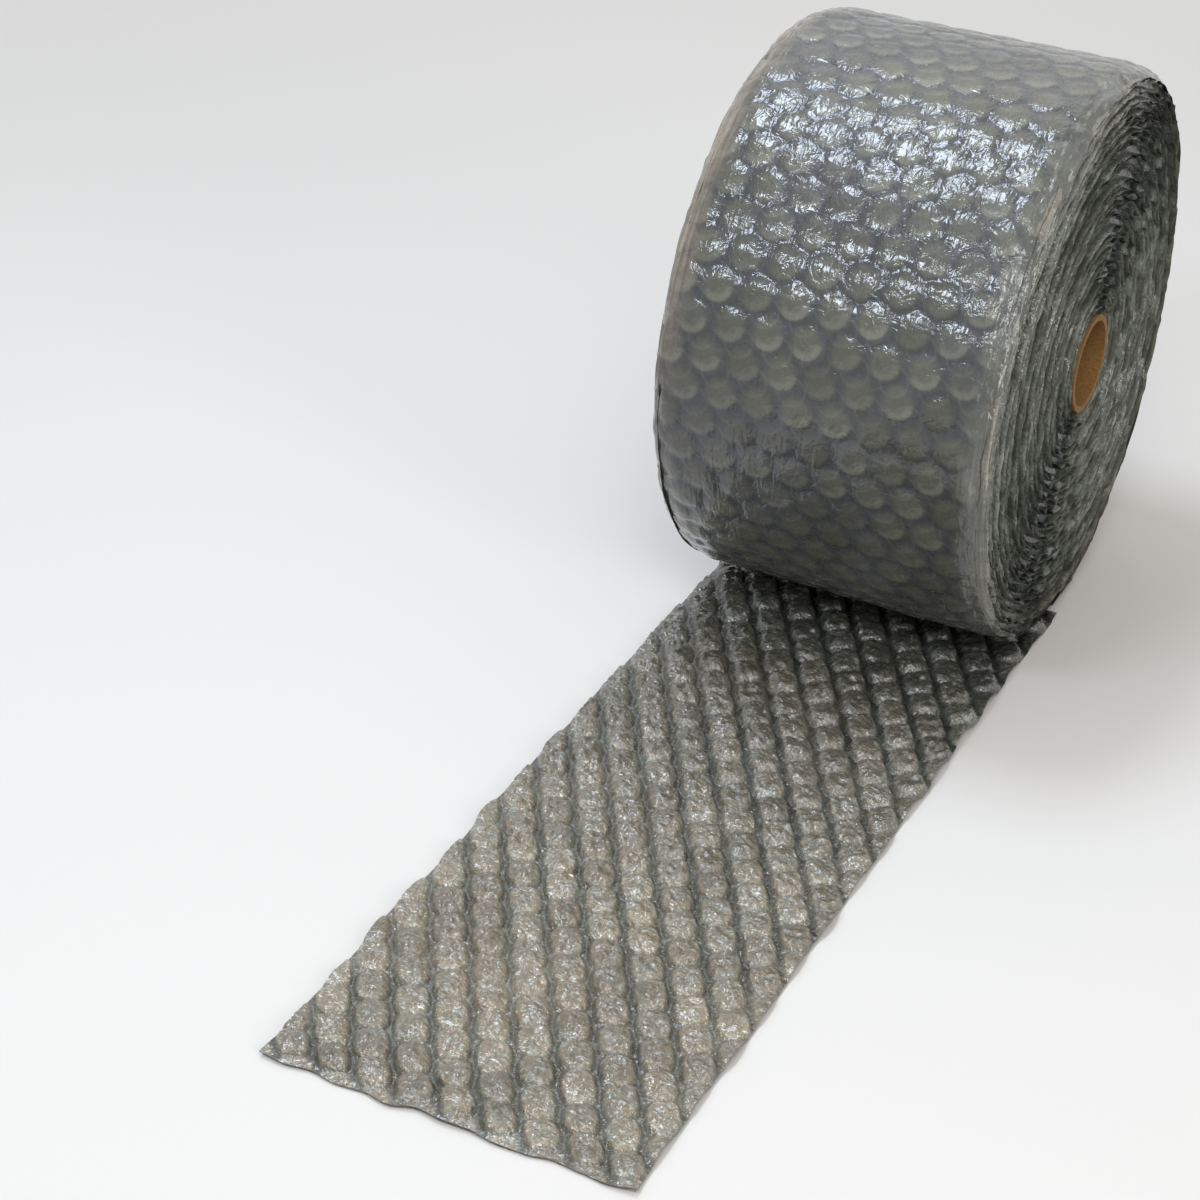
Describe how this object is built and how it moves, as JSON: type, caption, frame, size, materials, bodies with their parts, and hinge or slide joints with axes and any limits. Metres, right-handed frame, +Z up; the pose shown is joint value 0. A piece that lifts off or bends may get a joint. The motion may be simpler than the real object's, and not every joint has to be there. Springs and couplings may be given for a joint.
{
  "type": "bubble wrap roll",
  "caption": "Wide roll of large-bubble cushioning wrap wound on an open cardboard core, with a loose length unrolled flat in front.",
  "frame": {"origin": "middle of the part's box, on the floor it lies on", "axes": "+X along the core's bore towards the end shown, -Y towards the cut end of the loose length, +Z up"},
  "size_m": [0.305, 1.131, 0.5114],
  "materials": {
    "core_board": "matt brown board",
    "bubble_film": "soft translucent film with a low gloss"
  },
  "bodies": {
    "root": {"cardboard_core": "core_board", "bubble_web": "bubble_film"}
  },
  "joints": []
}
